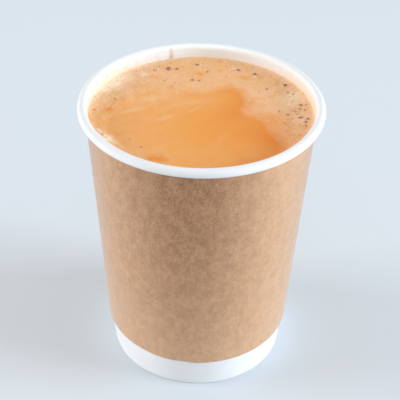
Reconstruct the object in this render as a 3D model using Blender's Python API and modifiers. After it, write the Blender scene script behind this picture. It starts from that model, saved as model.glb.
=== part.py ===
"""A double-wall paper cup filled with masala chai.

The cup is the takeaway kind: a white paper sidewall with a rolled rim and a
folded foot, a recessed paper disc gripped in that foot, and a brown kraft wrap
round the outside. The chai fills it to just under the rim, and a ring of froth
floats on it, broad at the back and thin at the front.

Units are metres, +Z is up, and the origin is the middle of the foot's underside.
"""

import math
import random

import bmesh
import bpy

# The cup's driving sizes
CUP_HEIGHT = 0.110
RIM_RADIUS = 0.045
FOOT_RADIUS = 0.034
PAPER = 0.0003
FIT_GAP = 0.0003
SEGMENTS = 64

# The rolled rim: the sidewall's paper curled outwards and down, not quite shut
CURL_RADIUS = 0.00175
CURL_SWEEP = math.radians(308)
CURL_STEPS = 13

# The foot: the sidewall's lower edge folded in and up round the disc's flange
FOLD_RADIUS = 0.0003
FOLD_STEPS = 3
HEM_HEIGHT = 0.0065

# The bottom disc, whose edge is turned down into a flange
DISC_HEIGHT = 0.009
DISC_CORNER_RADIUS = 0.0008
FLANGE_BOTTOM = 0.0011

# The kraft wrap, whose lower edge turns in towards the sidewall
WRAP_BOTTOM = 0.013
WRAP_TOP = 0.1062
WRAP_BOTTOM_RADIUS = 0.0361
WRAP_TOP_GAP = 0.0002
WRAP_CORNER_RADIUS = 0.0005

# The chai, and the froth that lies in a shallow bed in its surface
CHAI_LEVEL = 0.1048
FROTH_DEPTH = 0.0004
FROTH_CREST = 0.0004
FROTH_LIP = 0.0001
FROTH_CLIMB = 0.0003
FROTH_LEAST_WIDTH = 0.0014
FROTH_SECTIONS = 80

# The clear chai that the froth leaves open is a circle with lobes, off the cup's middle.
# Each lobe is its angle and its width in degrees, and how far it adds to the circle.
CLEAR_CENTRE = (-0.003, -0.010)
CLEAR_RADIUS = 0.030
CLEAR_RIPPLE = 0.0003
CLEAR_RIPPLES = 9
FROTH_RIGHT_ARM = (24, 22, -0.010)
TONGUE_OF_CHAI = (63, 13, 0.0038)
FROTH_BACK_BAND = (113, 45, -0.0075)
FRONT_RIGHT_REACH = (328, 22, 0.006)
CLEAR_LOBES = (FROTH_RIGHT_ARM, TONGUE_OF_CHAI, FROTH_BACK_BAND, FRONT_RIGHT_REACH)

# The large bubbles that stand up out of the broad parts of the froth
BUBBLE_COUNT = 30
BUBBLE_RADII = (0.00035, 0.00062)
BUBBLE_RISE = 0.6
BUBBLE_ARC = (math.radians(-25), math.radians(200))
BUBBLE_SHARES = (0.36, 0.80)
BUBBLE_SPACING = 0.0024
BUBBLE_SEGMENTS = 8
BUBBLE_RINGS = 5
BUBBLE_SEED = 7


def clear_scene():
    """Remove every object of the scene."""
    for obj in list(bpy.data.objects):
        bpy.data.objects.remove(obj, do_unlink=True)


def new_collection(name):
    """Make a collection under the scene's own."""
    collection = bpy.data.collections.new(name)
    bpy.context.scene.collection.children.link(collection)
    return collection


def new_material(name, colour, roughness):
    """Make a Principled material of one colour that isn't metallic."""
    material = bpy.data.materials.new(name)
    material.use_nodes = True
    shader = material.node_tree.nodes["Principled BSDF"]
    shader.inputs["Base Color"].default_value = (*colour, 1.0)
    shader.inputs["Roughness"].default_value = roughness
    shader.inputs["Metallic"].default_value = 0.0
    return material


def new_object(name, mesh, collection, material=None):
    """Put a mesh into the scene as an object of a collection."""
    if material:
        mesh.materials.append(material)
    obj = bpy.data.objects.new(name, mesh)
    collection.objects.link(obj)
    return obj


def arc(centre, radius, start, sweep, steps):
    """Points of an arc in the (radius, height) plane."""
    angles = [start + sweep * i / steps for i in range(steps + 1)]
    return [(centre[0] + radius * math.cos(a), centre[1] + radius * math.sin(a)) for a in angles]


def turned(name, profile, material, collection):
    """Turn a profile of (radius, height) points about the cup's axis."""
    mesh = bpy.data.meshes.new(name)
    edges = [(i, i + 1) for i in range(len(profile) - 1)]
    mesh.from_pydata([(r, 0.0, z) for r, z in profile], edges, [])
    obj = new_object(name, mesh, collection, material)
    screw = obj.modifiers.new("Turn", "SCREW")
    screw.axis = "Z"
    screw.angle = 2 * math.pi
    screw.steps = screw.render_steps = SEGMENTS
    screw.use_merge_vertices = True
    screw.merge_threshold = 0.00001
    screw.use_smooth_shade = True
    return obj


def turned_paper(name, centre_line, material, collection):
    """Turn the centre line of a sheet of paper, and give the sheet its thickness."""
    obj = turned(name, centre_line, material, collection)
    solidify = obj.modifiers.new("Paper", "SOLIDIFY")
    solidify.thickness = PAPER
    solidify.offset = 0.0
    solidify.use_even_offset = True
    return obj


def wall_line():
    """The sidewall's straight run: its foot, where it meets the curl, and its lean."""
    curl_radius = CURL_RADIUS - PAPER / 2
    centre = (RIM_RADIUS - CURL_RADIUS, CUP_HEIGHT - CURL_RADIUS)
    foot = (FOOT_RADIUS - PAPER / 2, PAPER / 2 + FOLD_RADIUS)
    across = (centre[0] - foot[0], centre[1] - foot[1])
    reach = math.hypot(*across)
    lean = math.atan2(across[1], across[0]) + math.asin(curl_radius / reach)
    length = math.sqrt(reach**2 - curl_radius**2)
    top = (foot[0] + length * math.cos(lean), foot[1] + length * math.sin(lean))
    return foot, top, lean


def wall_radius(height):
    """Radius of the sidewall's centre line at a height."""
    foot, top, _ = wall_line()
    return foot[0] + (top[0] - foot[0]) * (height - foot[1]) / (top[1] - foot[1])


def room_inside(height):
    """Radius that what is inside the sidewall may have at a height."""
    return wall_radius(height) - PAPER / 2 - FIT_GAP


def sidewall_line():
    """Centre line of the sidewall's paper: hem, fold, wall and curl."""
    foot, _, lean = wall_line()
    hem_inset = 2 * (PAPER + FIT_GAP)
    hem_fold = (foot[0] - hem_inset + FOLD_RADIUS, foot[1])
    foot_fold = (foot[0] - FOLD_RADIUS, foot[1])
    curl = (RIM_RADIUS - CURL_RADIUS, CUP_HEIGHT - CURL_RADIUS)
    quarter = math.pi / 2
    return [
        (wall_radius(HEM_HEIGHT) - hem_inset, HEM_HEIGHT),
        *arc(hem_fold, FOLD_RADIUS, math.pi, quarter, FOLD_STEPS),
        *arc(foot_fold, FOLD_RADIUS, -quarter, quarter, FOLD_STEPS),
        *arc(curl, CURL_RADIUS - PAPER / 2, lean + quarter, -CURL_SWEEP, CURL_STEPS),
    ]


def disc_line():
    """Centre line of the bottom disc's paper: the flange, its corner and the disc."""
    inset = PAPER + FIT_GAP
    corner_height = DISC_HEIGHT - PAPER / 2 - DISC_CORNER_RADIUS
    corner = (wall_radius(corner_height) - inset - DISC_CORNER_RADIUS, corner_height)
    return [
        (wall_radius(FLANGE_BOTTOM) - inset, FLANGE_BOTTOM),
        *arc(corner, DISC_CORNER_RADIUS, 0.0, math.pi / 2, FOLD_STEPS),
        (0.0, DISC_HEIGHT - PAPER / 2),
    ]


def wrap_line():
    """Centre line of the kraft wrap's paper: the turned-in edge, its corner and the wall."""
    base = WRAP_BOTTOM + PAPER / 2
    outside = WRAP_BOTTOM_RADIUS - PAPER / 2
    corner = (outside - WRAP_CORNER_RADIUS, base + WRAP_CORNER_RADIUS)
    return [
        (wall_radius(WRAP_BOTTOM) + PAPER / 2 + FIT_GAP, base),
        *arc(corner, WRAP_CORNER_RADIUS, -math.pi / 2, math.pi / 2, FOLD_STEPS),
        (wall_radius(WRAP_TOP) + PAPER + WRAP_TOP_GAP, WRAP_TOP),
    ]


def chai_profile():
    """The drink's outline, from the middle of its surface round to the middle of its bottom."""
    bottom = DISC_HEIGHT + FIT_GAP
    return [
        (0.0, CHAI_LEVEL),
        (room_inside(CHAI_LEVEL), CHAI_LEVEL),
        (room_inside(bottom), bottom),
        (0.0, bottom),
    ]


def clear_reach(turn):
    """How far the clear chai reaches from its middle at a turn: the circle and its lobes."""
    reach = CLEAR_RADIUS + CLEAR_RIPPLE * math.sin(CLEAR_RIPPLES * turn)
    for angle, width, lobe in CLEAR_LOBES:
        off = (math.degrees(turn) - angle + 180) % 360 - 180
        reach += lobe * math.exp(-((off / width) ** 2))
    return reach


def circle_reach(turn, radius):
    """How far a circle about the cup's axis is from the clear chai's middle at a turn."""
    x, y = CLEAR_CENTRE
    along = x * math.cos(turn) + y * math.sin(turn)
    return math.sqrt(along**2 + radius**2 - x**2 - y**2) - along


def froth_reaches(turn):
    """Where the froth starts and ends at a turn, from the clear chai's middle."""
    outer = circle_reach(turn, room_inside(CHAI_LEVEL))
    return min(clear_reach(turn), outer - FROTH_LEAST_WIDTH), outer


def surface_point(turn, reach):
    """The place on the drink's surface at a turn and a reach."""
    return CLEAR_CENTRE[0] + reach * math.cos(turn), CLEAR_CENTRE[1] + reach * math.sin(turn)


def loft_ring(name, sections, material, collection):
    """Join unlike closed sections, each with the next, into a closed ring."""
    bm = bmesh.new()
    rows = [[bm.verts.new(point) for point in section] for section in sections]
    width = len(rows[0])
    for row, following in zip(rows, rows[1:] + rows[:1]):
        for j in range(width):
            k = (j + 1) % width
            bm.faces.new((row[j], row[k], following[k], following[j]))
    bmesh.ops.triangulate(bm, faces=bm.faces)
    bmesh.ops.recalc_face_normals(bm, faces=bm.faces)
    mesh = bpy.data.meshes.new(name)
    bm.to_mesh(mesh)
    bm.free()
    return new_object(name, mesh, collection, material)


def froth_turns():
    """The turns at which the froth has a section."""
    return [2 * math.pi * i / FROTH_SECTIONS for i in range(FROTH_SECTIONS)]


def froth_section(turn):
    """The froth's section at a turn: its flat underside, inner lip, crest and climb at the wall."""
    start, end = froth_reaches(turn)
    crest = CHAI_LEVEL + FROTH_CREST
    outline = [
        (1.0, CHAI_LEVEL - FROTH_DEPTH),
        (0.0, CHAI_LEVEL - FROTH_DEPTH),
        (0.0, CHAI_LEVEL + FROTH_LIP),
        (0.12, crest - FROTH_LIP),
        (0.35, crest),
        (0.8, crest),
        (1.0, crest + FROTH_CLIMB),
    ]
    return [(*surface_point(turn, start + (end - start) * share), z) for share, z in outline]


def bubble_places():
    """Draw the bubbles' places and radii, where the froth is broad and none is close to another."""
    draw = random.Random(BUBBLE_SEED)
    places = []
    while len(places) < BUBBLE_COUNT:
        turn = draw.uniform(*BUBBLE_ARC)
        share = draw.uniform(*BUBBLE_SHARES)
        radius = draw.uniform(*BUBBLE_RADII)
        start, end = froth_reaches(turn)
        point = surface_point(turn, start + (end - start) * share)
        broad = end - start > 2 * BUBBLE_SPACING
        if broad and all(math.dist(point, other) > BUBBLE_SPACING for other, _ in places):
            places.append((point, radius))
    return places


def add_bubbles(collection):
    """Make each bubble a small sphere that stands a little more than half out of the froth."""
    for i, (point, radius) in enumerate(bubble_places()):
        bm = bmesh.new()
        bmesh.ops.create_uvsphere(
            bm, u_segments=BUBBLE_SEGMENTS, v_segments=BUBBLE_RINGS, radius=radius
        )
        mesh = bpy.data.meshes.new(f"bubble_{i}")
        bm.to_mesh(mesh)
        bm.free()
        obj = new_object(mesh.name, mesh, collection)
        sunk = (1 - BUBBLE_RISE) * radius
        obj.location = (*point, CHAI_LEVEL + FROTH_CREST - sunk)
        obj.rotation_euler.z = i


def apply_modifiers(obj):
    """Keep an object's modified form as its own mesh."""
    graph = bpy.context.evaluated_depsgraph_get()
    obj.data = bpy.data.meshes.new_from_object(obj.evaluated_get(graph))
    obj.modifiers.clear()


def make_froth(material, collection):
    """The froth ring with its large bubbles fused on."""
    froth = loft_ring("froth", [froth_section(turn) for turn in froth_turns()], material, collection)
    bubbles = new_collection("Bubbles")
    add_bubbles(bubbles)
    union = froth.modifiers.new("Bubbles", "BOOLEAN")
    union.operation = "UNION"
    union.operand_type = "COLLECTION"
    union.collection = bubbles
    union.solver = "EXACT"
    apply_modifiers(froth)
    for obj in list(bubbles.objects):
        bpy.data.objects.remove(obj, do_unlink=True)
    bpy.data.collections.remove(bubbles)


def make_froth_bed(collection):
    """Cutter for the bed that the froth lies in, a gap larger than the froth all round."""
    low = CHAI_LEVEL - FROTH_DEPTH - FIT_GAP
    sections = []
    for turn in froth_turns():
        inner = surface_point(turn, froth_reaches(turn)[0] - FIT_GAP)
        outer = surface_point(turn, circle_reach(turn, RIM_RADIUS))
        sections.append([(*outer, low), (*inner, low), (*inner, CUP_HEIGHT), (*outer, CUP_HEIGHT)])
    cutter = loft_ring("froth_bed", sections, None, collection)
    cutter.hide_render = True
    cutter.display_type = "WIRE"
    return cutter


def make_chai(material, collection, cutters):
    """The drink, with the froth's bed cut into its surface."""
    chai = turned("chai", chai_profile(), material, collection)
    cut = chai.modifiers.new("Froth bed", "BOOLEAN")
    cut.operation = "DIFFERENCE"
    cut.object = make_froth_bed(cutters)
    cut.solver = "EXACT"


def main():
    """Build the cup and what is in it."""
    clear_scene()
    parts = new_collection("Masala chai")
    cutters = new_collection("Cutters")
    white_paper = new_material("White paper", (0.86, 0.87, 0.87), 0.45)
    kraft_paper = new_material("Kraft paper", (0.50, 0.31, 0.18), 0.85)
    milk_tea = new_material("Milk tea", (0.80, 0.38, 0.11), 0.25)
    tea_froth = new_material("Tea froth", (0.82, 0.52, 0.28), 0.55)
    turned_paper("cup_sidewall", sidewall_line(), white_paper, parts)
    turned_paper("cup_bottom", disc_line(), white_paper, parts)
    turned_paper("kraft_wrap", wrap_line(), kraft_paper, parts)
    make_chai(milk_tea, parts, cutters)
    make_froth(tea_froth, parts)


main()
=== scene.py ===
"""Looks of a takeaway paper cup filled with masala chai.

A white coated paper cup with a rolled rim stands inside a brown kraft wrap. The chai
fills it to just under the rim, and froth, bubbles and a thin tide line of foam lie on
the drink and on the wall above it.

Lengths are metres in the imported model's frame. Its origin is the middle of the foot's
underside, +Z is up, and the picture is taken from the side of -Y. Angles round the cup
are measured from +X towards +Y, so the back of the cup is at 90 degrees.
"""

from __future__ import annotations

import logging
import math
from dataclasses import dataclass, field
from enum import Enum

import bmesh
import bpy
import numpy as np
from mathutils import Matrix, Vector


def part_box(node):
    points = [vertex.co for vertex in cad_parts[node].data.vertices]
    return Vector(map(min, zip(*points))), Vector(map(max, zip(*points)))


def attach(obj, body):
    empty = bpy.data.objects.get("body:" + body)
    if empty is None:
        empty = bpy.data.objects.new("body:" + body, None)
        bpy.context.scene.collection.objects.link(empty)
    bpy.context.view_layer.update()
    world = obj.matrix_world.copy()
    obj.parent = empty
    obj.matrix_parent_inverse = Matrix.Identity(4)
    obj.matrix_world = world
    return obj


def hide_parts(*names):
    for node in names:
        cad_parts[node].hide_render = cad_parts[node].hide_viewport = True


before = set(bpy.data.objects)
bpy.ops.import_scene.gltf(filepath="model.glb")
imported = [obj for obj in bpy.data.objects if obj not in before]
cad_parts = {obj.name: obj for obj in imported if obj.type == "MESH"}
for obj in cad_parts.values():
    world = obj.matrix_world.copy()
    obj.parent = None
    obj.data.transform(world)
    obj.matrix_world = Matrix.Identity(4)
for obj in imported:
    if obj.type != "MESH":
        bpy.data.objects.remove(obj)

LOG = logging.getLogger("chai")
MM = 0.001
TURN = 2 * math.pi
BODY = "root"
SHARP_ANGLE = math.radians(40)

Colour = tuple[float, float, float]
Array = np.ndarray


def smooth(value: Array, low: float, high: float) -> Array:
    """Rise from 0 at low to 1 at high as 3 t squared minus 2 t cubed, and stay level outside."""
    t = np.clip((value - low) / (high - low), 0.0, 1.0)
    return t * t * (3.0 - 2.0 * t)


def bell(value: Array, middle: float, width: float) -> Array:
    """Bell of height 1: e to the power of minus the square of the offset over the width."""
    return np.exp(-(((value - middle) / width) ** 2))


def turned_off(angle: Array, middle: float) -> Array:
    """Difference between angles in radians and a middle in degrees, from -180 to 180 degrees."""
    return (np.degrees(angle) - middle + 180.0) % 360.0 - 180.0


def lobe(angle: Array, middle: float, width: float) -> Array:
    """Bell round an angle of the cup, its middle and width in degrees."""
    return bell(turned_off(angle, middle), 0.0, width)


def ripples(x: Array, y: Array, wavelength: float, seed: int, waves: int = 10) -> Array:
    """Smooth noise from about -1 to 1.

    The sum of plane sine waves of drawn heading, length and phase, divided by the square
    root of twice their number.

    Args:
        x: First coordinate of each point.
        y: Second coordinate of each point.
        wavelength: Middle wavelength of the waves, in the coordinates' unit.
        seed: Seed of the drawn waves.
        waves: How many waves are added.

    Returns:
        The noise at each point.
    """
    draw = np.random.default_rng(seed)
    heading = draw.uniform(0.0, TURN, waves)
    pace = TURN / (wavelength * draw.uniform(0.6, 1.6, waves))
    phase = draw.uniform(0.0, TURN, waves)
    total = np.zeros(np.broadcast(x, y).shape)
    for k, across, along, start in zip(pace, np.cos(heading), np.sin(heading), phase):
        total += np.sin(k * (x * across + y * along) + start)
    return total / math.sqrt(2.0 * waves)


def stroke(x: Array, y: Array, start: tuple, end: tuple, width: float, bow: float) -> Array:
    """Soft bowed stroke between two points.

    A bell across the stroke, faded at both ends. The stroke's middle is moved sideways by
    bow times 1 minus the square of the place along it, from -1 to 1.

    Args:
        x: First coordinate of each point.
        y: Second coordinate of each point.
        start: One end of the stroke.
        end: Its other end.
        width: Width of the bell across it.
        bow: How far the stroke's middle is off the straight line.

    Returns:
        From 0 off the stroke to 1 in its middle.
    """
    half = ((end[0] - start[0]) / 2, (end[1] - start[1]) / 2)
    length = math.hypot(*half)
    dx = x - (start[0] + half[0])
    dy = y - (start[1] + half[1])
    along = (dx * half[0] + dy * half[1]) / length**2
    aside = (dy * half[0] - dx * half[1]) / length
    return bell(aside - bow * (1 - along**2), 0.0, width) * bell(along, 0.0, 0.75)


def arc(centre: tuple, radius: float, start: float, sweep: float, count: int) -> Array:
    """Points of an arc in the (radius, height) plane, at equal steps from start to start plus sweep."""
    angle = start + sweep * np.linspace(0.0, 1.0, count)
    return np.column_stack([centre[0] + radius * np.cos(angle), centre[1] + radius * np.sin(angle)])


def line(start: tuple, end: tuple, count: int) -> Array:
    """Points of a straight run in the (radius, height) plane, without its last one."""
    share = np.linspace(0.0, 1.0, count, endpoint=False)[:, None]
    return np.asarray(start) * (1 - share) + np.asarray(end) * share


def grid_quads(rows: int, columns: int, closed: bool) -> Array:
    """Corner numbers of the quads of a grid whose columns close round.

    A quad runs from a point to the next row, then to the next column, so its face points
    outwards where rows run down the outer side and columns run anticlockwise.

    Args:
        rows: How many rows of points.
        columns: How many columns of points.
        closed: Whether the last row joins the first.

    Returns:
        Four corner numbers for each quad, row by row.
    """
    i = np.arange(rows if closed else rows - 1)[:, None]
    j = np.arange(columns)[None, :]
    below, beside = (i + 1) % rows, (j + 1) % columns
    corners = [i * columns + j, below * columns + j, below * columns + beside, i * columns + beside]
    return np.stack(np.broadcast_arrays(*corners), axis=-1).reshape(-1, 4)


def point_mesh(name: str, points: Array, quads: Array, values: dict) -> bpy.types.Mesh:
    """Make a mesh whose points hold named numbers, as vertex attributes.

    Args:
        name: Name of the mesh.
        points: Array whose last axis is x, y and z.
        quads: Four corner numbers for each face.
        values: Arrays of numbers by name, each of which broadcasts to the grid of points.

    Returns:
        The mesh.
    """
    mesh = bpy.data.meshes.new(name)
    mesh.from_pydata(points.reshape(-1, 3), [], quads)
    for key, value in values.items():
        flat = np.broadcast_to(value, points.shape[:-1]).astype(np.float32).ravel()
        mesh.attributes.new(key, "FLOAT", "POINT").data.foreach_set("value", flat)
    return mesh


@dataclass
class Surface:
    """A grid of points, joined by quads to its neighbours, whose columns close round the cup.

    Attributes:
        points: Array of rows by columns by 3.
        ring_rows: Whether the last row joins the first.
        values: Named number per point, which become vertex attributes.
        uv: Place of each point on the flat sheet, with a closing column more than points.
    """

    points: Array
    ring_rows: bool = True
    values: dict[str, Array] = field(default_factory=dict)
    uv: Array | None = None

    def mesh(self, name: str) -> bpy.types.Mesh:
        """Join the grid into a mesh, shaded smooth with sharp edges kept and poles merged.

        Args:
            name: Name of the mesh.

        Returns:
            The mesh.
        """
        rows, columns, _ = self.points.shape
        quads = grid_quads(rows, columns, self.ring_rows)
        mesh = point_mesh(name, self.points, quads, self.values)
        if self.uv is not None:
            low = np.roll(self.uv, -1, axis=0)
            sheet = np.stack([self.uv[:, :-1], low[:, :-1], low[:, 1:], self.uv[:, 1:]], axis=2)
            used = sheet.reshape(-1, 4, 2)[:len(quads)].astype(np.float32)
            mesh.uv_layers.new(name="Sheet").data.foreach_set("uv", used.ravel())
        finish_mesh(mesh)
        return mesh


def finish_mesh(mesh: bpy.types.Mesh) -> None:
    """Merge points that lie on one another, drop what that collapses, and shade smooth.

    Args:
        mesh: The mesh, changed in place.
    """
    bm = bmesh.new()
    bm.from_mesh(mesh)
    bmesh.ops.remove_doubles(bm, verts=bm.verts, dist=1e-7)
    bmesh.ops.dissolve_degenerate(bm, dist=1e-8, edges=bm.edges)
    bm.to_mesh(mesh)
    bm.free()
    mesh.shade_smooth()
    mesh.set_sharp_from_angle(angle=SHARP_ANGLE)


def ring_angles(count: int, edges: tuple[float, ...] = (), spread: float = 3.0,
                steps: int = 41) -> Array:
    """Angles round the cup, closer together near named edges.

    Args:
        count: How many equal steps go round.
        edges: Angles in degrees that need close steps.
        spread: How many degrees each side of an edge get them.
        steps: How many close steps an edge gets.

    Returns:
        Rising angles in radians from 0 to less than a full turn.
    """
    degrees = [np.linspace(0.0, 360.0, count, endpoint=False)]
    for edge in edges:
        offset = np.linspace(-1.0, 1.0, steps)
        degrees.append(edge + spread * offset * np.abs(offset))
    return np.radians(np.unique(np.round(np.concatenate(degrees) % 360.0, 4)))


def carry_round(radius: Array, height: Array, angles: Array) -> Array:
    """Points at radii and heights, given by row and column, and at the angle of each column."""
    radius, height, _ = np.broadcast_arrays(radius, height, angles)
    return np.stack([radius * np.cos(angles), radius * np.sin(angles), height], axis=-1)


def turn_profile(profile: Array, angles: Array, out: Array | float = 0.0,
                 up: Array | float = 0.0) -> Array:
    """Carry a profile of (radius, height) points round the cup's axis.

    Args:
        profile: Rows by 2.
        angles: Angle of each column, in radians.
        out: Added to the radius, by row and column.
        up: Added to the height, by row and column.

    Returns:
        Points of rows by columns by 3.
    """
    return carry_round(profile[:, 0:1] + out, profile[:, 1:2] + up, angles)


def paper_outline(centre_line: Array, thickness: float) -> tuple[Array, Array]:
    """Outline of a sheet of paper of one thickness along a centre line.

    Each side is the line moved half the thickness along its normal. The outline runs back
    along the right side and then forward along the left one.

    Args:
        centre_line: Rows by 2 of (radius, height).
        thickness: Thickness of the sheet.

    Returns:
        The closed outline, and for each of its points 1 on the right side and 0 on the left.
    """
    run = np.gradient(centre_line, axis=0)
    run /= np.linalg.norm(run, axis=1, keepdims=True)
    aside = thickness / 2 * np.column_stack([run[:, 1], -run[:, 0]])
    right = (centre_line + aside)[::-1]
    left = centre_line - aside
    side = np.concatenate([np.ones(len(right)), np.zeros(len(left))])
    return np.vstack([right, left]), side


class ShaderGraph:
    """A material's or the world's node tree, emptied, with one method that adds nodes."""

    def __init__(self, tree: bpy.types.NodeTree) -> None:
        """Empty the tree and keep it."""
        self.tree = tree
        tree.nodes.clear()

    def add(self, kind: str, settings: dict | None = None, inputs: dict | None = None,
            output: int | str = 0) -> Wire:
        """Add a node, set it up and feed its sockets.

        Args:
            kind: The node's type.
            settings: Its properties.
            inputs: Value or wire for each socket, by name or number.
            output: Which output socket is returned.

        Returns:
            The output socket.
        """
        node = self.tree.nodes.new(kind)
        for key, value in (settings or {}).items():
            setattr(node, key, value)
        for key, value in (inputs or {}).items():
            if isinstance(value, Wire):
                self.tree.links.new(value.socket, node.inputs[key])
            else:
                node.inputs[key].default_value = value
        return Wire(self, node.outputs[output] if node.outputs else None)

    def mix(self, factor: Wire | float, first: Wire | Colour, second: Wire | Colour) -> Wire:
        """Blend two colours by a factor from 0 to 1.

        Args:
            factor: How much of the second colour shows.
            first: Colour at 0.
            second: Colour at 1.

        Returns:
            The blend.
        """
        first = first if isinstance(first, Wire) else (*first, 1.0)
        second = second if isinstance(second, Wire) else (*second, 1.0)
        settings = {"data_type": "RGBA", "clamp_factor": True}
        return self.add("ShaderNodeMix", settings, {0: factor, 6: first, 7: second}, 2)

    def ramp(self, value: Wire, low: float, high: float) -> Wire:
        """Rise smoothly from 0 at low to 1 at high."""
        inputs = {"Value": value, "From Min": low, "From Max": high}
        return self.add("ShaderNodeMapRange", {"interpolation_type": "SMOOTHSTEP"}, inputs)

    def attribute(self, name: str) -> Wire:
        """Read a number that the mesh holds at its points."""
        return self.add("ShaderNodeAttribute", {"attribute_name": name}, None, "Fac")

    def place(self) -> Wire:
        """Place on the object, in metres."""
        return self.add("ShaderNodeTexCoord", None, None, "Object")

    def sheet(self) -> Wire:
        """Place on the paper's flat sheet, in metres."""
        return self.add("ShaderNodeUVMap", {"uv_map": "Sheet"}, None, "UV")

    def stretch(self, vector: Wire, scale: tuple[float, float, float], turn: float = 0.0) -> Wire:
        """Turn a pattern's coordinates about Z and scale them."""
        inputs = {"Vector": vector, "Rotation": (0.0, 0.0, turn), "Scale": scale}
        return self.add("ShaderNodeMapping", {"vector_type": "TEXTURE"}, inputs)

    def noise(self, vector: Wire, scale: float, detail: float = 2.0, roughness: float = 0.5) -> Wire:
        """Fractal noise round 0.5."""
        inputs = {"Vector": vector, "Scale": scale, "Detail": detail, "Roughness": roughness}
        return self.add("ShaderNodeTexNoise", None, inputs, "Fac")

    def cells(self, vector: Wire, scale: float) -> Wire:
        """Distance to the nearest drawn point, in cells."""
        return self.add("ShaderNodeTexVoronoi", None, {"Vector": vector, "Scale": scale}, "Distance")

    def bump(self, height: Wire, depth: float, strength: float = 1.0) -> Wire:
        """Normal of a surface raised by height times depth."""
        inputs = {"Height": height, "Distance": depth, "Strength": strength}
        return self.add("ShaderNodeBump", None, inputs)


@dataclass(frozen=True)
class Wire:
    """An output socket whose arithmetic adds Math nodes to its graph."""

    graph: ShaderGraph
    socket: bpy.types.NodeSocket

    def _math(self, operation: str, first: Wire | float, second: Wire | float) -> Wire:
        """Add the Math node of an operation on two values."""
        return self.graph.add("ShaderNodeMath", {"operation": operation}, {0: first, 1: second})

    def __add__(self, other: Wire | float) -> Wire:
        """Sum."""
        return self._math("ADD", self, other)

    def __radd__(self, other: float) -> Wire:
        """Sum with the number first."""
        return self._math("ADD", other, self)

    def __sub__(self, other: Wire | float) -> Wire:
        """Difference."""
        return self._math("SUBTRACT", self, other)

    def __rsub__(self, other: float) -> Wire:
        """Difference with the number first."""
        return self._math("SUBTRACT", other, self)

    def __mul__(self, other: Wire | float) -> Wire:
        """Product."""
        return self._math("MULTIPLY", self, other)

    def __rmul__(self, other: float) -> Wire:
        """Product with the number first."""
        return self._math("MULTIPLY", other, self)


def principled(name: str, roughness: float, coat: float = 0.0, coat_roughness: float = 0.1,
               ior: float = 1.5) -> tuple[bpy.types.Material, ShaderGraph, dict]:
    """Start a material whose shader's fixed values are set.

    Args:
        name: Name of the material.
        roughness: Roughness, until a wire replaces it.
        coat: Coat weight.
        coat_roughness: Coat roughness.
        ior: Index of refraction.

    Returns:
        The material, its graph and the shader's sockets by name.
    """
    material = bpy.data.materials.new(name)
    material.use_nodes = True
    graph = ShaderGraph(material.node_tree)
    shader = graph.add("ShaderNodeBsdfPrincipled", None, {
        "Roughness": roughness, "Coat Weight": coat, "Coat Roughness": coat_roughness, "IOR": ior,
    })
    graph.add("ShaderNodeOutputMaterial", None, {"Surface": shader})
    return material, graph, shader.socket.node.inputs


def feed(graph: ShaderGraph, sockets: dict, **wires: Wire) -> None:
    """Link wires to a shader's sockets, each named with _ for a space."""
    for name, wire in wires.items():
        graph.tree.links.new(wire.socket, sockets[name.replace("_", " ")])


@dataclass(frozen=True)
class CoatedPaper:
    """White board with a thin smooth plastic coat, stained where the drink has touched it."""

    white: Colour = (0.80, 0.805, 0.81)
    mottle: Colour = (0.78, 0.785, 0.795)
    stain: Colour = (0.62, 0.36, 0.19)
    film: Colour = (0.85, 0.65, 0.49)
    # Painted light: the brighter, cooler white of the wall's back above the drink.
    inner: Colour = (0.93, 0.99, 1.0)
    roughness: float = 0.38

    def material(self) -> bpy.types.Material:
        """Make the material: faint mottle and fibre relief under a satin coat.

        Returns:
            The material.
        """
        material, graph, sockets = principled("Coated paper", self.roughness, 0.25, 0.25)
        place = graph.place()
        cloud = graph.ramp(graph.noise(place, 160.0, 3.0), 0.35, 0.65)
        colour = graph.mix(cloud, self.white, self.mottle)
        # Painted light: a brighter, cooler white on the back of the wall above the drink.
        colour = graph.mix(graph.attribute("inner"), colour, self.inner)
        colour = graph.mix(graph.attribute("film"), colour, self.film)
        colour = graph.mix(graph.attribute("stain"), colour, self.stain)
        fibres = graph.noise(place, 2600.0, 2.0) + graph.noise(place, 420.0, 2.0)
        feed(graph, sockets, Base_Color=colour, Normal=graph.bump(fibres, 0.00002, 0.5))
        return material


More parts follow.
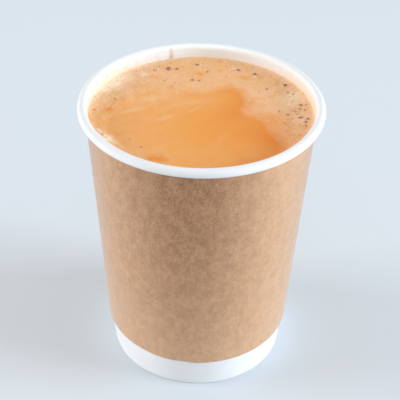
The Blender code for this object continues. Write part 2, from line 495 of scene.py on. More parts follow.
@dataclass(frozen=True)
class KraftPaper:
    """Uncoated brown kraft: cloudy pulp, short fibres both darker and paler, and a raw edge.

    The second colour of each pair is that of the paler clouds. The second pair is painted light:
    the paler paper where the wall is drawn as lit more. The raw edge's colour also paints a
    highlight along the lower edge, and fuzz is the strength of the nap's sheen.
    """

    pulp: Colour = (0.226, 0.077, 0.0155)
    cloud: Colour = (0.48, 0.242, 0.108)
    dark_fibre: Colour = (0.23, 0.064, 0.009)
    pale_fibre: Colour = (0.74, 0.50, 0.32)
    # Painted light: paler tones laid where the wall is drawn as lit, low down and at the front sides.
    painted_lit: Colour = (0.62, 0.362, 0.19)
    painted_lit_cloud: Colour = (0.70, 0.424, 0.236)
    # Colour of the flap's raw edge, and of the painted highlight along the lower edge.
    raw_edge_and_highlight: Colour = (0.60, 0.38, 0.23)
    roughness: float = 0.5
    specular: float = 0.6
    fuzz: float = 0.75
    fuzz_roughness: float = 0.38

    def fibres(self, graph: ShaderGraph, sheet: Wire, turn: float, low: float) -> Wire:
        """One family of fibres: noise stretched along a heading, kept above a level."""
        run = graph.stretch(sheet, (0.0011, 0.00017, 1.0), turn)
        return graph.ramp(graph.noise(run, 1.0, 1.0), low, low + 0.14)

    def material(self) -> bpy.types.Material:
        """Make the material from the sheet's own coordinates, so that fibres follow the wall.

        Returns:
            The material.
        """
        material, graph, sockets = principled("Kraft paper", self.roughness)
        sockets["Specular IOR Level"].default_value = self.specular
        sockets["Sheen Weight"].default_value = self.fuzz
        sockets["Sheen Roughness"].default_value = self.fuzz_roughness
        sheet = graph.sheet()
        tall = graph.stretch(sheet, (1.0, 1.7, 1.0))
        cloud = graph.ramp(graph.noise(tall, 270.0, 4.0, 0.95), 0.32, 0.68)
        colour = graph.mix(cloud, self.pulp, self.cloud)
        speck = graph.ramp(graph.noise(sheet, 1500.0, 2.0), 0.42, 0.66)
        colour = graph.mix(speck * 0.48, colour, self.dark_fibre)
        dark = self.fibres(graph, sheet, 1.35, 0.60) + self.fibres(graph, sheet, 0.35, 0.64)
        pale = self.fibres(graph, sheet, 1.9, 0.62) + self.fibres(graph, sheet, -0.5, 0.66)
        colour = graph.mix(dark * 0.46, colour, self.dark_fibre)
        colour = graph.mix(pale * 0.46, colour, self.pale_fibre)
        # Painted light: the paper turns paler where the mask of painted light says it is lit more.
        painted_lit = graph.mix(cloud, self.painted_lit, self.painted_lit_cloud)
        colour = graph.mix(graph.attribute("painted_light") * 0.74, colour, painted_lit)
        # The flap's raw edge, and a painted highlight along the lower edge.
        colour = graph.mix(graph.attribute("raw_edge_and_highlight"), colour, self.raw_edge_and_highlight)
        relief = pale * 0.6 + graph.noise(sheet, 1800.0, 3.0)
        feed(graph, sockets, Base_Color=colour, Normal=graph.bump(relief, 0.00003, 0.8))
        return material


@dataclass(frozen=True)
class DrinkFinish:
    """Opaque milky tea whose colour runs on under the froth's thin edge."""

    tea: Colour = (0.82, 0.332, 0.064)
    deep: Colour = (0.75, 0.218, 0.018)
    cream: Colour = (0.85, 0.485, 0.228)
    froth: Colour = (0.80, 0.462, 0.22)
    blush: Colour = (0.85, 0.488, 0.268)
    ochre: Colour = (0.80, 0.345, 0.075)
    bank: Colour = (0.97, 0.76, 0.54)
    # Colour of the froth's pores, and of the painted shade round the dark bubbles.
    pore_and_shade: Colour = (0.42, 0.20, 0.10)
    spot: Colour = (0.79, 0.255, 0.036)
    wet_roughness: float = 0.16
    froth_roughness: float = 0.48

    def material(self) -> bpy.types.Material:
        """Make the one material that the tea and the froth share.

        Returns:
            The material.
        """
        material, graph, sockets = principled("Masala chai", self.wet_roughness, ior=1.34)
        place = graph.place()
        foam = graph.attribute("foam")
        fine = graph.noise(place, 700.0, 3.0)
        broad = graph.noise(place, 120.0, 3.0)
        colour = graph.mix(graph.attribute("deep"), self.tea, self.deep)
        colour = graph.mix(graph.attribute("cream") * (0.7 + 0.6 * fine), colour, self.cream)
        froth = graph.mix(graph.ramp(broad, 0.38, 0.62), self.froth, self.blush)
        ochre = graph.ramp(graph.noise(place, 260.0, 2.0), 0.54, 0.74) * 0.5 + graph.attribute("ochre")
        froth = graph.mix(ochre, froth, self.ochre)
        froth = graph.mix(graph.attribute("bank"), froth, self.bank)
        open_cells = 1.0 - graph.ramp(graph.cells(place, 800.0), 0.05, 0.38)
        pores = open_cells * graph.ramp(broad, 0.50, 0.66)
        froth = graph.mix(pores * 0.14, froth, self.pore_and_shade)
        edge = foam * (1.0 - foam) * 4.0
        cover = foam + edge * ((fine - 0.5) * 0.25 + (broad - 0.5) * 0.6)
        colour = graph.mix(cover, colour, froth)
        colour = graph.mix(graph.attribute("spot"), colour, self.spot)
        # Painted shade round the dark bubbles, in the pores' colour.
        colour = graph.mix(graph.attribute("painted_bubble_shade"), colour, self.pore_and_shade)
        grain = graph.cells(place, 1900.0) * cover + fine * 0.4 * cover - pores * 0.8 * cover
        gloss = self.wet_roughness + cover * (self.froth_roughness - self.wet_roughness)
        normal = graph.bump(grain, 0.00006, 0.8)
        feed(graph, sockets, Base_Color=colour, Roughness=gloss, Normal=normal)
        return material


class BubbleLook(Enum):
    """How a bubble's film looks: pale, pinkish, or dark where it shows the tea below."""

    PALE = "pale"
    # Pinkish film, a painted highlight on the bubbles.
    ROSY_HIGHLIGHT = "rosy_highlight"
    OPEN = "open"


@dataclass(frozen=True)
class BubbleFinish:
    """Thin wet film of a bubble."""

    look: BubbleLook

    def material(self) -> bpy.types.Material:
        """Make the film, darker in the middle of an open bubble than at its rim.

        Returns:
            The material.
        """
        tones = {
            BubbleLook.PALE: ((0.86, 0.58, 0.34), (0.80, 0.47, 0.24)),
            # Pinkish tones: a painted highlight on the film.
            BubbleLook.ROSY_HIGHLIGHT: ((0.80, 0.55, 0.46), (0.86, 0.57, 0.40)),
            BubbleLook.OPEN: ((0.22, 0.10, 0.06), (0.55, 0.30, 0.20)),
        }
        gloss = {BubbleLook.PALE: 0.4, BubbleLook.ROSY_HIGHLIGHT: 0.2, BubbleLook.OPEN: 0.2}
        middle, rim = tones[self.look]
        material, graph, sockets = principled(f"Bubble {self.look.value}", gloss[self.look], ior=1.33)
        height = graph.ramp(graph.attribute("dome"), 0.25, 0.95)
        mottle = graph.noise(graph.place(), 900.0, 2.0) * 0.2
        feed(graph, sockets, Base_Color=graph.mix(height - mottle, rim, middle))
        return material


@dataclass(frozen=True)
class FoamFilm:
    """Pale foam that has dried on the wall."""

    cream: Colour = (0.90, 0.74, 0.56)
    tan: Colour = (0.87, 0.56, 0.32)

    def material(self) -> bpy.types.Material:
        """Make the film, tan low down and cream where it thins out.

        Returns:
            The material.
        """
        material, graph, sockets = principled("Foam film", 0.45, ior=1.36)
        place = graph.place()
        mottle = graph.noise(place, 900.0, 3.0)
        height = graph.ramp(graph.attribute("climb") + (mottle - 0.5) * 0.5, 0.1, 0.8)
        grain = graph.cells(place, 1700.0)
        colour = graph.mix(height, self.tan, self.cream)
        feed(graph, sockets, Base_Color=colour, Normal=graph.bump(grain, 0.00008, 0.8))
        return material


@dataclass(frozen=True)
class FloorFinish:
    """Plain pale floor, matt with a faint unevenness."""

    pale: Colour = (0.690, 0.748, 0.795)
    roughness: float = 0.6
    unevenness: float = 0.03

    def material(self) -> bpy.types.Material:
        """Make the floor's material.

        Returns:
            The material.
        """
        material, graph, sockets = principled("Pale floor", self.roughness)
        cloud = graph.noise(graph.place(), 3.0, 2.0)
        tint = tuple((1 - self.unevenness) * c for c in self.pale)
        feed(graph, sockets, Base_Color=graph.mix(cloud, self.pale, tint))
        return material


def add_piece(name: str, mesh: bpy.types.Mesh, material: bpy.types.Material, slot: str,
              *nodes: str) -> bpy.types.Object:
    """Put a finished piece into the scene on the cup's body.

    Args:
        name: Name of the piece.
        mesh: Its mesh, in place.
        material: Its material.
        slot: Name of a material slot, which is not used.
        nodes: CAD nodes that it stands for.

    Returns:
        The object.
    """
    mesh.materials.clear()
    mesh.materials.append(material)
    piece = bpy.data.objects.new(name, mesh)
    bpy.context.scene.collection.objects.link(piece)
    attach(piece, BODY)
    if nodes:
        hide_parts(*nodes)
    LOG.info("%s: %d faces", name, len(mesh.polygons))
    return piece


@dataclass
class CupShape:
    """The cup's main sizes, the same as in the CAD model.

    Attributes:
        height: Height of the rim's top.
        rim_radius: Outer radius of the rolled rim.
        foot_radius: Outer radius of the foot.
        paper: Thickness of the paper.
        gap: Clearance between pieces.
        curl_radius: Outer radius of the rim's roll.
        fold_radius: Inner radius of the foot's fold, at the paper's middle.
        disc_height: Height of the bottom disc's upper face.
        tuck: How far the drink's side reaches into the wall's paper.
    """

    height: float = 0.110
    rim_radius: float = 0.045
    foot_radius: float = 0.034
    paper: float = 0.3 * MM
    gap: float = 0.3 * MM
    curl_radius: float = 1.75 * MM
    fold_radius: float = 0.3 * MM
    disc_height: float = 9.0 * MM
    tuck: float = 0.05 * MM

    def curl_centre(self) -> tuple[float, float]:
        """Middle of the rim's roll."""
        return self.rim_radius - self.curl_radius, self.height - self.curl_radius

    def foot_point(self) -> tuple[float, float]:
        """Where the wall's middle line meets the foot's fold."""
        return self.foot_radius - self.paper / 2, self.paper / 2 + self.fold_radius

    def lean(self) -> float:
        """Angle of the wall's line, which starts at the foot and is tangent to the roll.

        Returns:
            The angle above the floor, in radians.
        """
        foot, centre = self.foot_point(), self.curl_centre()
        across = (centre[0] - foot[0], centre[1] - foot[1])
        off = math.asin((self.curl_radius - self.paper / 2) / math.hypot(*across))
        return math.atan2(across[1], across[0]) + off

    def wall(self, height: Array | float) -> Array | float:
        """Radius of the wall's middle line: the foot's, plus the height over the lean's slope."""
        foot = self.foot_point()
        return foot[0] + (height - foot[1]) / math.tan(self.lean())

    def wall_inside(self, height: Array | float) -> Array | float:
        """Radius of the wall's inner face."""
        return self.wall(height) - self.paper / 2

    def drink_side(self, height: Array | float) -> Array | float:
        """Radius of the drink's side, which is hidden just inside the paper."""
        return self.wall_inside(height) + self.tuck


@dataclass
class Sidewall:
    """The white inner cup: hem, folded foot, wall and rolled rim, with a glued side seam.

    Attributes:
        shape: The cup's sizes.
        chai_level: Height of the drink.
        seam: Angle of the seam's raw inner edge, in degrees.
        seam_width: How far round the overlap goes, in degrees.
        seam_step: Height of the overlap's step on the inside.
        rim_wave: How far the rim strays from a true circle.
        hem_height: How far the folded hem runs up inside the foot.
        curl_sweep: How far the rim is rolled.
        mark_height: How high above the drink the wall is marked.
        columns: How many equal steps go round.
    """

    shape: CupShape
    chai_level: float
    seam: float = 107.6
    seam_width: float = 9.0
    seam_step: float = 0.22 * MM
    rim_wave: float = 0.07 * MM
    hem_height: float = 6.5 * MM
    curl_sweep: float = math.radians(308)
    mark_height: float = 4.6 * MM
    columns: int = 280

    def centre_line(self) -> Array:
        """Middle line of the paper: down the hem, round the fold, up the wall and round the curl.

        Returns:
            Rows by 2 of (radius, height).
        """
        shape = self.shape
        foot = shape.foot_point()
        inset = 2 * (shape.paper + shape.gap)
        below_chai = self.chai_level - 3 * MM
        fold = shape.fold_radius
        quarter = math.pi / 2
        hem_foot = (foot[0] - inset, foot[1])
        curl = arc(shape.curl_centre(), shape.curl_radius - shape.paper / 2,
                   shape.lean() + quarter, -self.curl_sweep, 44)
        return np.vstack([
            line((shape.wall(self.hem_height) - inset, self.hem_height), hem_foot, 7),
            arc((hem_foot[0] + fold, foot[1]), fold, math.pi, quarter, 5),
            arc((foot[0] - fold, foot[1]), fold, -quarter, quarter, 5)[:-1],
            line(foot, (shape.wall(below_chai), below_chai), 34),
            line((shape.wall(below_chai), below_chai), tuple(curl[0]), 26),
            curl,
        ])

    def relief(self, profile: Array, side: Array, angles: Array) -> Array:
        """How far each point is moved outwards.

        The overlap steps sharply at the raw edge and fades over its last third. It thickens
        the wall inwards, and the foot's skirt outwards with its raw edge at the other end.
        The rim waves as a sum of two sines round the cup.

        Args:
            profile: Outline of the sheet, rows by 2 of (radius, height).
            side: For each point of the outline, 1 on the outer side and 0 on the inner.
            angles: Angle of each column, in radians.

        Returns:
            Distance outwards, by row and column.
        """
        past, lap = turned_off(angles, self.seam), self.seam_width
        inner = smooth(past, -0.06, 0.06) * (1 - smooth(past, 0.65 * lap, lap))
        outer = smooth(past, 0.0, 0.4 * lap) * (1 - smooth(past, lap - 0.1, lap + 0.1))
        height = profile[:, 1:2]
        outside = side[:, None]
        on_rim = smooth(height, self.shape.height - 3.2 * MM, self.shape.height - 2.4 * MM)
        on_wall = smooth(height, self.shape.disc_height, self.shape.disc_height + 3 * MM)
        on_skirt = 1 - smooth(height, 10 * MM, 12 * MM)
        wave = np.sin(3 * angles + 0.8) + 0.6 * np.sin(7 * angles + 2.0)
        step = -self.seam_step * inner * on_wall * (1 - outside) * (1 - 0.75 * on_rim)
        skirt = 0.6 * self.seam_step * outer * on_skirt * outside
        return step + skirt + self.rim_wave * wave * on_rim

    def marks(self, profile: Array, side: Array, angles: Array) -> dict[str, Array]:
        """Stain, film of foam and painted light on the back, above the drink, on the inner face.

        The stain is a bell across the raw edge that narrows and fades upwards. The film fades
        upwards over a reach that ripples round the cup and is longest at the left, and it
        lies only at the left and the right. The painted light, a brighter and cooler white, is a
        bell round the back.

        Args:
            profile: Outline of the sheet, rows by 2 of (radius, height).
            side: For each point of the outline, 1 on the outer side and 0 on the inner.
            angles: Angle of each column, in radians.

        Returns:
            The numbers by name, each by row and column.
        """
        height = profile[:, 1:2]
        rise = np.clip((height - self.chai_level) / self.mark_height, 0.0, 1.2)
        above_chai = smooth(height, self.chai_level - 2 * MM, self.chai_level - 1 * MM)
        across = turned_off(angles, self.seam - 0.25) * math.radians(1) * self.shape.wall(self.chai_level)
        width = (1.0 - 0.4 * rise) * MM
        faded = (1 - 0.5 * rise) * (1 - smooth(rise, 0.9, 1.15))
        stain = 0.78 * bell(across, 0.0, width) * faded
        flat = np.degrees(angles)
        streak = 0.5 + 0.5 * ripples(flat, 0.0, 5.0, 11) + 0.10 * ripples(flat, 0.0, 1.7, 12)
        left = lobe(angles, 152, 34)
        reach = 0.42 + (0.55 + 0.15 * left) * streak + 0.34 * left + 0.40 * lobe(angles, 15, 25)
        wet = left + 0.95 * lobe(angles, 8, 42)
        film = wet * (1 - smooth(rise, 0.05 * reach, 1.05 * reach))
        centre = self.shape.curl_centre()[0]
        off_rim = 1 - smooth(profile[:, 0:1], centre - 1.2 * MM, centre - 0.2 * MM)
        face = (1 - side[:, None]) * above_chai * off_rim
        # Painted light: the inner face is drawn brighter round the back, and a little all round.
        painted_back_light = 0.12 + 0.88 * lobe(angles, 86, 34)
        return {"stain": stain * face, "film": film * face, "inner": painted_back_light * face}

    def build(self, material: bpy.types.Material) -> bpy.types.Object:
        """Turn the paper's outline, mark it and dress it.

        Args:
            material: Finish of the piece.

        Returns:
            The piece.
        """
        angles = ring_angles(self.columns, (self.seam, self.seam + self.seam_width))
        outline, side = paper_outline(self.centre_line(), self.shape.paper)
        points = turn_profile(outline, angles, self.relief(outline, side, angles))
        surface = Surface(points, True, self.marks(outline, side, angles))
        return add_piece("paper_cup", surface.mesh("paper_cup"), material, "white_paper", "cup_sidewall")


@dataclass
class BottomDisc:
    """The recessed bottom disc with its flange turned down into the foot's fold.

    Attributes:
        shape: The cup's sizes.
        flange_bottom: Height of the turned-down edge's end.
        corner: Radius of the turn at the paper's middle.
        sag: How far the disc's middle hangs.
        columns: How many equal steps go round.
    """

    shape: CupShape
    flange_bottom: float = 1.1 * MM
    corner: float = 0.8 * MM
    sag: float = 0.5 * MM
    columns: int = 192

    def centre_line(self) -> Array:
        """Middle line of the paper: up the flange, round the corner and in to the middle.

        Returns:
            Rows by 2 of (radius, height).
        """
        shape = self.shape
        inset = shape.paper + shape.gap
        middle = (0.0, shape.disc_height - shape.paper / 2)
        height = middle[1] - self.corner
        bend = arc((shape.wall(height) - inset - self.corner, height), self.corner, 0.0, math.pi / 2, 8)
        return np.vstack([
            line((shape.wall(self.flange_bottom) - inset, self.flange_bottom), tuple(bend[0]), 8),
            bend[:-1],
            line(tuple(bend[-1]), middle, 40),
            [middle],
        ])

    def build(self, material: bpy.types.Material) -> bpy.types.Object:
        """Turn the outline, let the disc sag as a dish, and dress it.

        Args:
            material: Finish of the piece.

        Returns:
            The piece.
        """
        outline, _ = paper_outline(self.centre_line(), self.shape.paper)
        outline[:, 0] = np.maximum(outline[:, 0], 0.0)
        top = self.shape.disc_height
        flat = smooth(outline[:, 1:2], top - 1 * MM, top - 0.3 * MM)
        share = np.clip(outline[:, 0:1] / self.shape.foot_radius, 0.0, 1.0)
        points = turn_profile(outline, ring_angles(self.columns), 0.0, -self.sag * flat * (1 - share**2))
        mesh = Surface(points, False).mesh("bottom_disc")
        return add_piece("bottom_disc", mesh, material, "white_paper", "cup_bottom")


@dataclass
class KraftWrap:
    """The brown outer wall: a sheet glued round with a flap at the back, its lower edge turned in.

    Attributes:
        shape: The cup's sizes.
        bottom: Height of the lower edge.
        top: Height of the upper edge, up under the rim.
        bottom_radius: Outer radius just above the turned edge.
        corner: Radius of the turn at the paper's middle.
        flap: Angle of the flap's raw edge, in degrees.
        flap_width: How far round the flap lies over the sheet, in degrees.
        unevenness: Height of the wall's ripples.
        columns: How many equal steps go round.
    """

    shape: CupShape
    bottom: float
    top: float
    bottom_radius: float = 36.1 * MM
    corner: float = 0.55 * MM
    flap: float = 128.0
    flap_width: float = 16.0
    unevenness: float = 0.07 * MM
    columns: int = 360

    def centre_line(self) -> Array:
        """Middle line of the paper: the turned-in edge, its corner, and the wall.

        Returns:
            Rows by 2 of (radius, height).
        """
        shape = self.shape
        base = self.bottom + shape.paper / 2
        outside = self.bottom_radius - shape.paper / 2
        bend = arc((outside - self.corner, base + self.corner), self.corner, -math.pi / 2, math.pi / 2, 10)
        start = (shape.wall(self.bottom) + shape.paper / 2 + 0.1 * MM, base)
        end = (shape.wall(self.top) + shape.paper + 0.2 * MM, self.top)
        return np.vstack([line(start, tuple(bend[0]), 4), bend[:-1], line(tuple(bend[-1]), end, 96), [end]])

    def relief(self, profile: Array, side: Array, angles: Array) -> Array:
        """How far each point is moved outwards: the flap's step, and the sheet's unevenness.

        The flap rises over its width and drops sharply at its raw edge. Broad ripples on the
        unrolled sheet dent the wall, less near its lower edge.

        Args:
            profile: Outline of the sheet, rows by 2 of (radius, height).
            side: For each point of the outline, 1 on the outer side and 0 on the inner.
            angles: Angle of each column, in radians.

        Returns:
            Distance outwards, by row and column.
        """
        past = turned_off(angles, self.flap)
        step = smooth(past, -self.flap_width, -0.4 * self.flap_width) * (1 - smooth(past, -0.06, 0.06))
        height = profile[:, 1:2]
        dents = ripples(angles * self.bottom_radius, height * 0.55, 32 * MM, 5)
        held = smooth(height, self.bottom, self.bottom + 12 * MM)
        return self.shape.paper * step * side[:, None] + self.unevenness * dents * held

    def hem(self, profile: Array, angles: Array) -> Array:
        """How far the lower edge strays upwards: two slow sines and a shallow lift at the front left.

        Args:
            profile: Outline of the sheet, rows by 2 of (radius, height).
            angles: Angle of each column, in radians.

        Returns:
            Distance upwards, by row and column.
        """
        near = 1 - smooth(profile[:, 1:2], self.bottom, self.bottom + 14 * MM)
        stray = 0.10 * np.sin(2 * angles + 1.0) + 0.07 * np.sin(5 * angles + 0.4) + 0.15
        lift = 0.36 * lobe(angles, 262, 5) + 0.14 * lobe(angles, 236, 7) - 0.10 * lobe(angles, 271, 4)
        return (stray + lift) * MM * near

    def sheet(self, profile: Array, angles: Array) -> Array:
        """Place of each point on the flat sheet, in metres, with a closing column.

        Args:
            profile: Outline of the sheet, rows by 2 of (radius, height).
            angles: Angle of each column, in radians.

        Returns:
            Place round the wrap and up it, by row and column.
        """
        run = np.concatenate([[0.0], np.cumsum(np.linalg.norm(np.diff(profile, axis=0), axis=1))])
        middle = (self.bottom_radius + profile[:, 0].max()) / 2
        across = np.append(angles, angles[0] + TURN) * middle
        return np.stack(np.broadcast_arrays(across, run[:, None]), axis=-1)

    def marks(self, profile: Array, side: Array, angles: Array) -> dict[str, Array]:
        """Where the paper is cut, and where light and a highlight are painted on it.

        The colour is painted paler downwards, by the depth's share to the power of 1.5, as light
        that the floor throws up, and in two broad bells high up at the front right and the front
        left, where the sides are lit. A pale band at the lower edge is a painted highlight.

        Args:
            profile: Outline of the sheet, rows by 2 of (radius, height).
            side: For each point of the outline, 1 on the outer side and 0 on the inner.
            angles: Angle of each column, in radians.

        Returns:
            The numbers by name, each by row and column.
        """
        height = profile[:, 1:2]
        low = 1 - np.clip((height - self.bottom) / (self.top - self.bottom), 0.0, 1.0)
        # Painted light: paler in two bells at the front sides, where they are lit.
        paler = (1.02 * lobe(angles, 317, 32) + 0.76 * lobe(angles, 215, 32)) * (1 - low)
        flap_edge = 0.8 * side[:, None] * (np.abs(turned_off(angles, self.flap)) < 0.08)
        # Painted highlight: a pale band along the turned lower edge.
        painted_edge_highlight = 0.6 * (1 - smooth(height, self.bottom + 0.15 * MM, self.bottom + 0.7 * MM))
        return {
            "raw_edge_and_highlight": np.maximum(flap_edge, painted_edge_highlight),
            # Painted light: paler downwards and at the front sides.
            "painted_light": np.clip(low**1.5 + paler, 0.0, 1.0),
        }

    def build(self, material: bpy.types.Material) -> bpy.types.Object:
        """Turn the sheet from the flap's raw edge round to it, mark it and dress it.

        Args:
            material: Finish of the piece.

        Returns:
            The piece.
        """
        angles = ring_angles(self.columns, (self.flap,))
        angles = np.sort(np.where(angles < math.radians(self.flap), angles + TURN, angles))
        outline, side = paper_outline(self.centre_line(), self.shape.paper)
        out = self.relief(outline, side, angles)
        points = turn_profile(outline, angles, out, self.hem(outline, angles))
        surface = Surface(points, True, self.marks(outline, side, angles), self.sheet(outline, angles))
        return add_piece("kraft_outer", surface.mesh("kraft_outer"), material, "kraft_paper", "kraft_wrap")


@dataclass
class FrothOutline:
    """Where froth lies on the drink, and how each place on the drink is coloured.

    The clear chai is a circle with lobes about its own middle, and froth is all that is
    outside it. A lobe is an angle and a width in degrees, and how far it adds to the circle.

    Attributes:
        shape: The cup's sizes.
        level: Height of the drink's surface.
        middle: Middle of the clear chai.
        radius: Radius of its circle.
        least_width: Least width of the froth at the wall.
        lobes: Lobes of the circle.
        drift: Lobes by which the colours' edge alone lies further out.
        pale: Pale patches, as x, y and radius in mm, and strength.
        banks: Pale strokes against the wall, as start, end, width and bow in mm, and strength.
        streaks: Strokes of cream in the clear chai, in the same form.
        spots: Orange spots, in the form of the patches.
        ochres: Ochre patches, in the same form.
        dark: Dark bubbles, as x, y and radius in mm.
    """

    shape: CupShape
    level: float
    middle: tuple[float, float] = (-3.0 * MM, -10.0 * MM)
    radius: float = 30.0 * MM
    least_width: float = 1.4 * MM
    lobes: tuple[tuple[float, float, float], ...] = (
        (24, 22, -10.0 * MM),
        (63, 13, 3.8 * MM),
        (113, 45, -7.5 * MM),
        (328, 22, 6.0 * MM),
    )
    drift: tuple[tuple[float, float, float], ...] = (
        (142, 27, 6.5 * MM),
        (78, 14, -2.2 * MM),
        (12, 14, 2.5 * MM),
        (352, 14, -3.0 * MM),
    )
    pale: tuple[tuple[float, float, float, float], ...] = (
        (-33.5, 19.0, 3.2, 0.9), (-35.8, 14.5, 2.0, 0.6), (-30.5, 23.0, 2.2, 0.6),
        (33.5, 9.5, 4.0, 0.5), (35.0, 13.5, 2.8, 0.5), (-32.8, -17.4, 1.9, 0.6),
        (35.0, -4.0, 3.0, 0.3), (-22.3, 26.6, 1.5, 0.5), (-26.9, 23.7, 1.3, 0.5),
    )
    banks: tuple[tuple, ...] = (
        ((-40.5, -7.0), (-24.5, -26.0), 2.0, -1.6, 0.8),
        ((-27.5, -23.4), (-14.5, -32.2), 0.9, -0.6, 0.3),
    )
    streaks: tuple[tuple, ...] = (
        ((-18.4, -6.2), (-8.5, -1.0), 1.1, -0.5, 0.45),
        ((-6.8, -1.0), (0.6, 6.4), 0.5, -0.7, 0.45),
        ((-14.0, 3.0), (4.0, 9.0), 1.8, 1.0, 0.30),
        ((-30.5, -2.6), (-21.5, 2.4), 0.9, 0.5, 0.55),
        ((4.0, -25.0), (12.5, -9.0), 1.3, 0.8, 0.12),
        ((-26.0, 6.0), (-8.0, 12.0), 1.4, 0.8, 0.30),
    )
    spots: tuple[tuple[float, float, float, float], ...] = (
        (-33.9, 0.8, 1.3, 1.0), (-13.8, -30.3, 1.9, 0.9), (-17.0, -30.0, 1.7, 0.8),
        (-24.8, -18.5, 0.4, 0.5), (-20.6, -23.3, 0.5, 0.6), (-11.5, -30.9, 1.0, 0.5),
        (30.0, -6.6, 0.4, 0.4), (31.8, -9.5, 0.5, 0.45),
    )
    ochres: tuple[tuple[float, float, float, float], ...] = (
        (-1.0, 28.4, 1.5, 1.0), (-23.3, 17.7, 3.0, 0.5), (-0.7, 24.3, 1.0, 0.5), (7.0, 29.4, 1.0, 0.4),
        (17.7, 30.4, 0.8, 0.4), (6.9, 38.0, 1.4, 0.7), (16.9, 25.6, 1.7, 0.8), (14.5, 26.2, 1.5, 0.5),
        (9.9, 26.3, 1.4, 0.5), (37.8, -8.9, 0.9, 0.8), (-19.6, 24.5, 1.0, 0.6), (-11.3, 16.5, 0.9, 0.3),
        (-7.9, 19.2, 1.2, 0.3), (15.6, 16.6, 1.0, 0.4), (28.7, 18.9, 0.9, 0.3), (22.0, 27.0, 1.8, 0.35),
        (-31.7, -18.0, 1.0, 0.5),
    )
    dark: tuple[tuple[float, float, float], ...] = (
        (-13.0, 31.2, 0.90), (-9.8, 31.1, 0.55), (-2.0, 34.8, 0.55), (2.1, 29.5, 0.40), (-3.6, 22.9, 0.48),
        (-1.1, 22.4, 0.38), (14.0, 31.1, 0.62), (20.3, 28.3, 0.68), (-18.5, 29.7, 0.36), (31.6, 20.4, 0.72),
        (24.6, 17.5, 0.40), (32.3, 15.3, 0.34), (34.3, 14.2, 0.34), (36.7, 6.5, 0.55), (38.7, 6.6, 0.28),
        (37.9, 3.0, 0.30), (36.1, 3.6, 0.30), (28.5, 2.0, 0.30), (31.5, -0.5, 0.38), (34.9, 0.1, 0.26),
        (34.4, 2.0, 0.25), (35.7, -2.3, 0.50), (36.6, -1.9, 0.36), (33.0, -2.9, 0.25), (38.7, -3.1, 0.50),
        (37.8, -5.1, 0.48), (37.7, -7.8, 0.34), (36.6, -7.6, 0.25), (30.0, -6.6, 0.22),
        (-32.0, 8.2, 0.28), (-39.0, 0.1, 0.30), (-24.8, -18.5, 0.24), (-20.6, -23.3, 0.28),
        (-14.2, 22.1, 0.26), (-10.2, 20.7, 0.24), (-34.8, -15.6, 0.26), (-33.0, -17.4, 0.22),
    )

    @property
    def wall(self) -> float:
        """Radius of the wall's inner face at the drink's surface."""
        return self.shape.wall_inside(self.level)

    def to_wall(self, x: Array, y: Array) -> Array:
        """Distance from a place on the drink to the wall."""
        return self.wall - np.hypot(x, y)

    @property
    def bubble_shade_patches(self) -> list[tuple[float, float, float, float]]:
        """Patches of painted shade round the dark bubbles, where they press into the froth."""
        return [(x, y, 1.5 * radius, 0.5) for x, y, radius in self.dark]

    def wall_reach(self, turn: Array, radius: float) -> Array:
        """Distance from the clear chai's middle to a circle about the cup's axis, along a turn.

        Args:
            turn: Angle of each line from the middle.
            radius: Radius of the circle.

        Returns:
            The distance along each line.
        """
        x, y = self.middle
        along = x * np.cos(turn) + y * np.sin(turn)
        return np.sqrt(along**2 + radius**2 - x**2 - y**2) - along

    def clear_reach(self, turn: Array) -> Array:
        """Distance from the middle to the froth: the circle, its lobes and small ripples.

        Args:
            turn: Angle of each line from the middle.

        Returns:
            The distance along each line.
        """
        reach = self.radius + 0.3 * MM * np.sin(9 * turn)
        for middle, width, size in self.lobes:
            reach = reach + size * lobe(turn, middle, width)
        outer = self.wall_reach(turn, self.wall)
        return np.minimum(reach, outer - self.least_width)

    def polar(self, x: Array, y: Array) -> tuple[Array, Array]:
        """Turn and distance of places on the drink, about the clear chai's middle."""
        dx, dy = x - self.middle[0], y - self.middle[1]
        return np.arctan2(dy, dx), np.hypot(dx, dy)

    def depth_in(self, x: Array, y: Array) -> Array:
        """How far inside the froth a place is, negative in the clear chai."""
        turn, reach = self.polar(x, y)
        return reach - self.clear_reach(turn)

    def foam(self, inside: Array, turn: Array) -> Array:
        """How much of the froth's colour shows, by the depth in it and the turn.

        A quarter of it rises over the outline itself and the rest over a soft width, which is
        broad at the left and the right. Two bells thin it out at the front right and the left.

        Args:
            inside: Depth of each place in the froth's colour.
            turn: Turn of each place about the clear chai's middle.

        Returns:
            From 0 in the clear chai to 1 in full froth.
        """
        soft = (5.0 + 10.0 * lobe(turn, 170, 30) + 12.0 * lobe(turn, 5, 34)) * MM
        foam = 0.26 * smooth(inside, -1.6 * MM, 1.6 * MM) + 0.74 * smooth(inside / soft, -0.15, 1.0)
        return foam * (1 - 0.55 * lobe(turn, 322, 22) - 0.30 * lobe(turn, 188, 28))

    def deep(self, x: Array, y: Array, inside: Array, turn: Array) -> Array:
        """Deeper orange of the clear chai, which dies away from the froth's edge at the right.

        Args:
            x: First coordinate of each place.
            y: Second coordinate of each place.
            inside: Depth of each place in the froth's colour.
            turn: Turn of each place about the clear chai's middle.

        Returns:
            From 0 to 1 where the tea is deepest in colour.
        """
        near_edge = np.exp(-np.clip(-inside, 0.0, None) / (13 * MM))
        deep = near_edge * (1.1 * lobe(turn, 338, 38) + 0.6 * lobe(turn, 40, 28) + 0.2 * lobe(turn, 95, 40))
        return np.clip(deep * (0.9 + 0.25 * ripples(x, y, 14 * MM, 23)), 0.0, 1.0)

